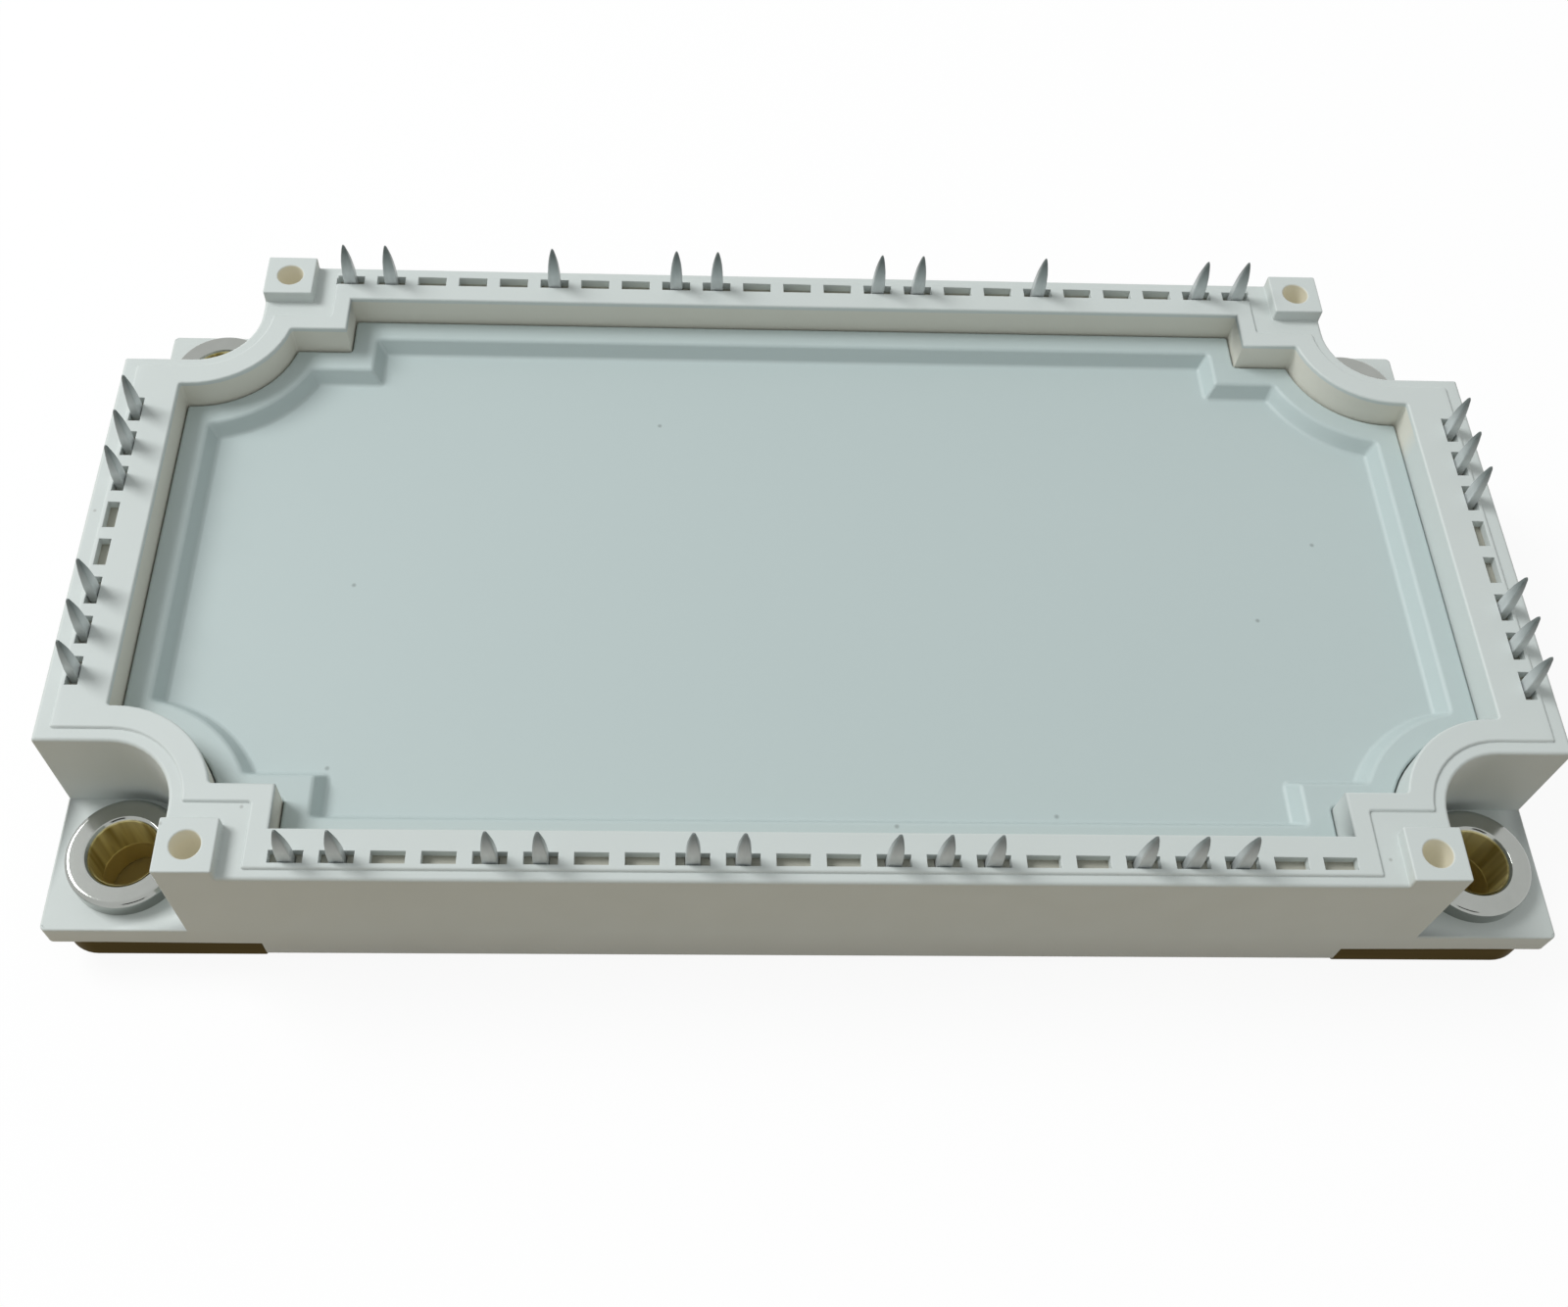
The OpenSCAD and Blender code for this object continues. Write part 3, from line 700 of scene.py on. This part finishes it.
def bush_tree():
    """One bush at each corner of a rectangle."""
    t = NodeTree(
        "Corner bushes",
        {
            "Bush": "NodeSocketObject",
            "Spacing X": "NodeSocketFloat",
            "Spacing Y": "NodeSocketFloat",
            "Finish": "NodeSocketMaterial",
        },
    )
    given = t.given.outputs
    corners = t.node(
        "GeometryNodeMeshGrid",
        inputs={
            "Size X": given["Spacing X"],
            "Size Y": given["Spacing Y"],
            "Vertices X": 2,
            "Vertices Y": 2,
        },
    )
    bush = t.node("GeometryNodeObjectInfo", inputs={"Object": given["Bush"]})
    placed = t.node(
        "GeometryNodeInstanceOnPoints",
        inputs={"Points": corners.outputs["Mesh"], "Instance": bush.outputs["Geometry"]},
    )
    t.finish(placed.outputs[0], given["Finish"])
    return t


def pin_tree():
    """A blade and a foot on each point, turned and stretched by its attributes."""
    t = NodeTree(
        "Solder pins",
        {
            "Blade": "NodeSocketObject",
            "Foot": "NodeSocketObject",
            "Finish": "NodeSocketMaterial",
        },
    )
    given = t.given.outputs

    def attribute(name):
        return t.node(
            "GeometryNodeInputNamedAttribute", {"data_type": "FLOAT"}, {"Name": name}
        ).outputs["Attribute"]

    upright = t.node("ShaderNodeCombineXYZ", inputs={2: attribute("turn")}).outputs[0]
    foot = {0: 1.0, 1: attribute("foot"), 2: 1.0}
    stretch = t.node("ShaderNodeCombineXYZ", inputs=foot).outputs[0]
    joined = t.node("GeometryNodeJoinGeometry")
    for source, scale in (("Blade", (1.0, 1.0, 1.0)), ("Foot", stretch)):
        info = t.node("GeometryNodeObjectInfo", inputs={"Object": given[source]})
        placed = t.node(
            "GeometryNodeInstanceOnPoints",
            inputs={
                "Points": given["Geometry"],
                "Instance": info.outputs["Geometry"],
                "Rotation": upright,
                "Scale": scale,
            },
        )
        t.tree.links.new(placed.outputs[0], joined.inputs[0])
    t.finish(joined.outputs[0], given["Finish"])
    return t


# -------------------------------------------------------------- bushes and pins


def bush_profile(size):
    """Half the section of a bush: a plain barrel under a rounded head. A narrow ring
    beside each rounding keeps the shading of the flats flat."""
    bore, outer = size.hole / 2, (BUSH_HIGH.x - BUSH_LOW.x) / 2
    edge, cut = size.rounding, size.chamfer
    low, step, top = BUSH_LOW.z, FLANGE_TOP, BUSH_HIGH.z
    ring, lip = 0.03 * MM, 0.1 * MM
    return [
        (bore, low),
        (BUSH_BARREL, low),
        (BUSH_BARREL, step),
        (outer, step),
        (outer, top - edge - ring),
        *arc(outer - edge, top - edge, edge, 0, 90, 8),
        (outer - edge - ring, top),
        (bore + cut + lip + ring, top),
        *arc(bore + cut + lip, top - lip, lip, 90, 135, 2),
        (bore, top - cut - lip / 2),
        (bore, top - cut - lip / 2 - ring),
    ]


def pin_spot(name, thickness):
    """(x, y, turn, foot length) of a pin, from its solid's box."""
    low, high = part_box(name)
    side = next(prefix for prefix in PIN_SIDES if name.startswith(prefix))
    turn = math.radians(PIN_SIDES[side])
    inwards = Vector((-math.sin(turn), math.cos(turn), 0))
    middle, half = (low + high) / 2, (high - low) / 2
    reach = abs(half.x * inwards.x) + abs(half.y * inwards.y)
    place = middle - inwards * (reach - thickness / 2)
    return place.x, place.y, turn, 2 * reach - thickness / 2


def pin_blade(size):
    """The upright blade: straight in its slot, then drawn to a blunt point."""
    # Depth below the tip, shares of the width and thickness, cut of the corners
    levels = [
        (PIN_HIGH.z - PIN_LOW.z, 1.0, 1.0, 0.05 * MM),
        (3.9 * MM, 1.0, 1.0, 0.05 * MM),
        (3.4 * MM, 0.985, 0.98, 0.06 * MM),
        (2.6 * MM, 0.89, 0.9, 0.08 * MM),
        (1.8 * MM, 0.77, 0.8, 0.1 * MM),
        (1.1 * MM, 0.58, 0.66, 0.11 * MM),
        (0.55 * MM, 0.39, 0.5, 0.1 * MM),
        (0.2 * MM, 0.24, 0.36, 0.05 * MM),
        (0.0, 0.11, 0.18, 0.02 * MM),
    ]
    body = bmesh.new()
    rings = []
    for depth, wide, thick, c in levels:
        w, t = size.width / 2 * wide, size.thickness / 2 * thick
        half = [(w - c, -t), (w, c - t), (w, t - c), (w - c, t)]
        outline = half + [(-x, -y) for x, y in half]
        rings.append([body.verts.new((x, y, PIN_HIGH.z - depth)) for x, y in outline])
    body.faces.new(reversed(rings[0]))
    body.faces.new(rings[-1])
    for below, above in zip(rings, rings[1:]):
        join_rings(body, below, above)
    return from_body("blade", body, sharp=28)


def pin_foot(size):
    """The foot from the blade's axis inwards, one metre long before it is scaled."""
    body = bmesh.new()
    bmesh.ops.create_cube(body, size=1.0)
    bmesh.ops.scale(body, vec=(size.width, 1.0, size.thickness), verts=body.verts)
    rise = PIN_LOW.z + size.thickness / 2
    bmesh.ops.translate(body, vec=(0, 0.5, rise), verts=body.verts)
    return from_body("foot", body)


# ----------------------------------------------------------------------- studio

# In metres, places being given from the middle of the module
FLOOR_REACH = 3.0
FLOOR_GAP = 0.05 * MM
FLOOR_FADE_MIDDLE = 0.35
FLOOR_FADE_HALF = 0.25
DARK_SPOT = 4 * MM
CARD_PLACE = Vector((0.05, -0.84, 0.54)) * 0.6
CARD_HALF_SIZE = (0.15, 0.1)
LAMP_PLACE = Vector((-3.8, 1.6, 4.5)).normalized() * 1.1
LAMP_SIZE = 0.5

WHITE = (1.0, 1.0, 1.0, 1.0)
# The share of the floor's white that no shadow takes away, near the module
FLOOR_GLOW = 0.92

# The view's size, the focal length and the place of the optical axis, all in the same
# units, the axis being given from the upper left corner
VIEW_WIDTH, VIEW_HEIGHT = 1600, 1334
FOCAL_LENGTH = 1719
AXIS = (752.8, 600)
SENSOR = 36.0
# The camera's angles in degrees, and where the module's middle lies as it sees it
PITCH, YAW, ROLL = 56.75, 3.71, -3.83
MODULE_SEEN = Vector((5.30, -4.87, -156.61)) * MM


def make_world(strength):
    """Even light for the object, and plain white where the background is seen."""
    world = bpy.data.worlds.new("studio_sky")
    bpy.context.scene.world = world
    world.use_nodes = True
    sky = Shading(world.node_tree)
    pale = opaque(linear(250, 253, 252))
    light = sky.node("ShaderNodeBackground", inputs={"Color": pale, "Strength": strength})
    white = sky.node("ShaderNodeBackground", inputs={"Color": WHITE, "Strength": 1.0})
    seen = sky.background_ray()
    both = sky.node("ShaderNodeMixShader", inputs={0: seen, 1: light, 2: white})
    sky.node("ShaderNodeOutputWorld", inputs={0: both}, output=None)


def make_floor():
    """A pale floor that looks white and keeps the object's shadow. It throws warmer
    light back on the object, and far out it turns as white as the background."""
    floor = rectangle("floor", FLOOR_REACH, FLOOR_REACH, CAD_BOX[0].z - FLOOR_GAP)
    f = Finish("pale_floor")
    seen = f.background_ray()
    paper = f.noise(4 * MM, detail=3)
    warm = f.mix(paper, linear(162, 138, 92), linear(168, 144, 98))
    # Under the bushes, where it shows through their bores, the floor is in the dark: it has
    # no white glow there, and its tone is darker, painted shade
    in_open = distance(f, BUSH_CENTRE).above(DARK_SPOT, SOFT)
    tone = f.mix(in_open, linear(132, 120, 86), f.mix(seen, warm, WHITE))
    from_middle = (f.x * f.x + f.y * f.y) ** 0.5
    far = from_middle.above(FLOOR_FADE_MIDDLE, FLOOR_FADE_HALF)
    matt = f.node("ShaderNodeBsdfDiffuse", inputs={"Color": tone})
    glow = f.node("ShaderNodeEmission", inputs={"Color": WHITE, "Strength": 1.0})
    share = (FLOOR_GLOW + (1 - FLOOR_GLOW) * far) * seen * in_open
    both = f.node("ShaderNodeMixShader", inputs={0: share, 1: matt, 2: glow})
    f.node("ShaderNodeOutputMaterial", inputs={0: both}, output=None)
    floor.data.materials.append(f.material)


def make_card():
    """A dark card at the front that only the bright metal mirrors."""
    card = rectangle("dark_card", *CARD_HALF_SIZE)
    aim(card, CARD_PLACE)
    card.visible_camera = card.visible_diffuse = card.visible_shadow = False
    card.visible_transmission = False
    black = opaque(linear(46, 46, 44))
    card.data.materials.append(Finish("dark_card").surface(Base_Color=black, Roughness=0.8))


def aim(thing, place):
    """Puts a card or lamp in that place and turns it back towards the middle."""
    thing.location = place
    thing.rotation_euler = place.to_track_quat("Z", "Y").to_euler()


def make_key(power):
    """One large soft lamp from the left and a little behind."""
    lamp = bpy.data.lights.new("key", "AREA")
    lamp.shape = "DISK"
    lamp.size = LAMP_SIZE
    lamp.energy = power
    lamp.color = linear(253, 254, 255)
    key = bpy.data.objects.new("key", lamp)
    aim(key, LAMP_PLACE)
    bpy.context.scene.collection.objects.link(key)


def make_camera(scene):
    """The camera, from its fitted view and place."""
    data = bpy.data.cameras.new("camera")
    data.sensor_width = SENSOR
    data.lens = SENSOR * FOCAL_LENGTH / VIEW_WIDTH
    data.shift_x = (VIEW_WIDTH / 2 - AXIS[0]) / VIEW_WIDTH
    data.shift_y = (AXIS[1] - VIEW_HEIGHT / 2) / VIEW_WIDTH
    data.clip_start, data.clip_end = 0.01, 20.0
    camera = bpy.data.objects.new("camera", data)
    pitch, yaw, roll = (math.radians(a) for a in (PITCH, YAW, ROLL))
    lean = Matrix.Rotation(roll, 4, "Z") @ Matrix.Rotation(pitch - math.pi / 2, 4, "X")
    seen = Matrix.Translation(MODULE_SEEN) @ lean @ Matrix.Rotation(yaw, 4, "Z")
    camera.matrix_world = seen.inverted()
    scene.collection.objects.link(camera)
    scene.camera = camera


# --------------------------------------------------------------------- settings


class HousingSettings(bpy.types.PropertyGroup):
    """Plastic of the housing and the lid"""

    housing_colour: bpy.props.FloatVectorProperty(
        name="Housing colour", description="Plastic of the frame", subtype="COLOR",
        size=3, default=linear(206, 213, 211), min=0, max=1,
    )
    lid_colour: bpy.props.FloatVectorProperty(
        name="Lid colour", description="Plastic of the lid", subtype="COLOR",
        size=3, default=linear(186, 199, 198), min=0, max=1,
    )
    grain: bpy.props.FloatProperty(
        name="Grain", description="Strength of the moulded surface's grain",
        default=0.5, min=0, max=1,
    )


class BushSettings(bpy.types.PropertyGroup):
    """Bushes in the mounting holes"""

    hole: bpy.props.FloatProperty(
        name="Hole", description="Diameter of the mounting holes", unit="LENGTH",
        default=5.5 * MM, min=4 * MM, max=6 * MM,
    )
    rounding: bpy.props.FloatProperty(
        name="Rounding", description="Radius of the head's outer edge", unit="LENGTH",
        default=0.42 * MM, min=0.1 * MM, max=0.9 * MM,
    )
    chamfer: bpy.props.FloatProperty(
        name="Chamfer", description="Width of the chamfer at the hole", unit="LENGTH",
        default=0.25 * MM, min=0.05 * MM, max=0.5 * MM,
    )


class PinSettings(bpy.types.PropertyGroup):
    """Solder pins"""

    width: bpy.props.FloatProperty(
        name="Width", description="Width of a blade", unit="LENGTH",
        default=1.15 * MM, min=0.6 * MM, max=1.4 * MM,
    )
    thickness: bpy.props.FloatProperty(
        name="Thickness", description="Thickness of a blade", unit="LENGTH",
        default=0.8 * MM, min=0.4 * MM, max=1.0 * MM,
    )


class StudioSettings(bpy.types.PropertyGroup):
    """Light, floor and camera"""

    key: bpy.props.FloatProperty(
        name="Key light", description="Power of the large lamp", unit="POWER",
        default=8.1, min=0, max=50,
    )
    sky: bpy.props.FloatProperty(
        name="Sky", description="Strength of the even light from all sides",
        default=0.47, min=0, max=2,
    )


# -------------------------------------------------------------------- operators


class MODULE_OT_housing(bpy.types.Operator):
    """Make the moulded housing with rounded edges"""

    bl_idname = "module.housing"
    bl_label = "Housing"

    def execute(self, context):
        plastic = context.scene.module_housing
        row, column, hole = PIN_ROW, PIN_COLUMN, CUT_AT_HOLES
        cuts = [(0, x) for x in (-column, -hole, 0, hole, column)]
        cuts += [(1, y) for y in (-row, 0, row)]
        piece = rounded_copy("frame", "housing", frame_radius, cuts)
        finish = housing_finish(plastic.housing_colour, plastic.grain)
        hand_over(piece, finish, "frame_plastic", "frame")
        return {"FINISHED"}


class MODULE_OT_lid(bpy.types.Operator):
    """Make the sunk lid with a soft slope"""

    bl_idname = "module.lid"
    bl_label = "Lid"

    def execute(self, context):
        plastic = context.scene.module_housing
        piece = rounded_copy("lid", "sunk_lid", lid_radius, [(0, 0), (1, 0)])
        finish = lid_finish(plastic.lid_colour, plastic.grain)
        hand_over(piece, finish, "lid_plastic", "lid")
        return {"FINISHED"}


class MODULE_OT_bushes(bpy.types.Operator):
    """Make the bushes of the mounting holes"""

    bl_idname = "module.bushes"
    bl_label = "Bushes"

    def execute(self, context):
        size = context.scene.module_bushes
        bush = revolved("bush_source", bush_profile(size), steps=96)
        base = mesh_object("bushes_base", bpy.data.meshes.new("bushes_base"))
        metal = bush_finish()
        sizes = {
            "Bush": bush,
            "Spacing X": 2 * abs(BUSH_CENTRE.x),
            "Spacing Y": 2 * abs(BUSH_CENTRE.y),
            "Finish": metal,
        }
        piece = bush_tree().run(base, "corner_bushes", sizes)
        bpy.data.objects.remove(bush)
        hand_over(piece, metal, "bush_metal", *BUSHES)
        return {"FINISHED"}


class MODULE_OT_pins(bpy.types.Operator):
    """Make the solder pins on all sides"""

    bl_idname = "module.pins"
    bl_label = "Pins"

    def execute(self, context):
        size = context.scene.module_pins
        xs, ys, turns, feet = zip(*(pin_spot(name, size.thickness) for name in PINS))
        mesh = bpy.data.meshes.new("pin_spots")
        mesh.from_pydata([(x, y, 0) for x, y in zip(xs, ys)], [], [])
        for label, values in (("turn", turns), ("foot", feet)):
            mesh.attributes.new(label, "FLOAT", "POINT").data.foreach_set("value", values)
        base = mesh_object("pin_spots", mesh)
        metal = pin_finish()
        sources = {"Blade": pin_blade(size), "Foot": pin_foot(size)}
        piece = pin_tree().run(base, "solder_pins", {**sources, "Finish": metal})
        for source in sources.values():
            bpy.data.objects.remove(source)
        hand_over(piece, metal, "pin_metal", *PINS)
        return {"FINISHED"}


class MODULE_OT_baseplate(bpy.types.Operator):
    """Make the metal baseplate"""

    bl_idname = "module.baseplate"
    bl_label = "Baseplate"

    def execute(self, context):
        cuts = [(0, x) for x in (-CUT_AT_HOLES, CUT_AT_HOLES)]
        piece = rounded_copy("baseplate", "metal_baseplate", plate_radius, cuts)
        hand_over(piece, plate_finish(), "baseplate_metal", "baseplate")
        return {"FINISHED"}


class MODULE_OT_inside(bpy.types.Operator):
    """Give the sealed pieces inside their finishes"""

    bl_idname = "module.inside"
    bl_label = "Inside"

    def execute(self, context):
        for starts, finish in INSIDE.items():
            material = plain_finish(*finish)
            for name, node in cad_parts.items():
                if name.startswith(starts):
                    node.data.materials.clear()
                    node.data.materials.append(material)
        return {"FINISHED"}


class MODULE_OT_studio(bpy.types.Operator):
    """Set up the floor, the lights and the camera"""

    bl_idname = "module.studio"
    bl_label = "Studio"

    def execute(self, context):
        studio = context.scene.module_studio
        context.scene.view_settings.view_transform = "Standard"
        make_world(studio.sky)
        make_floor()
        make_card()
        make_key(studio.key)
        make_camera(context.scene)
        return {"FINISHED"}


# ------------------------------------------------------------------------ panel


class MODULE_PT_looks(bpy.types.Panel):
    """Lists the steps and sizes"""

    bl_idname = "MODULE_PT_looks"
    bl_label = "Power module"
    bl_space_type = "VIEW_3D"
    bl_region_type = "UI"
    bl_category = "Power module"

    def draw(self, context):
        for label, group in SETTINGS.items():
            box = self.layout.box()
            settings = getattr(context.scene, label)
            for name in group.__annotations__:
                box.prop(settings, name)
        for step in STEPS:
            self.layout.operator(step.bl_idname)


SETTINGS = {
    "module_housing": HousingSettings,
    "module_bushes": BushSettings,
    "module_pins": PinSettings,
    "module_studio": StudioSettings,
}
STEPS = (
    MODULE_OT_housing,
    MODULE_OT_lid,
    MODULE_OT_bushes,
    MODULE_OT_pins,
    MODULE_OT_baseplate,
    MODULE_OT_inside,
    MODULE_OT_studio,
)


def register():
    for label, group in SETTINGS.items():
        bpy.utils.register_class(group)
        setattr(bpy.types.Scene, label, bpy.props.PointerProperty(type=group))
    for step in STEPS:
        bpy.utils.register_class(step)
    bpy.utils.register_class(MODULE_PT_looks)


def unregister():
    bpy.utils.unregister_class(MODULE_PT_looks)
    for step in reversed(STEPS):
        bpy.utils.unregister_class(step)
    for label, group in SETTINGS.items():
        delattr(bpy.types.Scene, label)
        bpy.utils.unregister_class(group)


def main():
    register()
    bpy.ops.module.housing()
    bpy.ops.module.lid()
    bpy.ops.module.bushes()
    bpy.ops.module.pins()
    bpy.ops.module.baseplate()
    bpy.ops.module.inside()
    bpy.ops.module.studio()


if __name__ == "__main__":
    main()
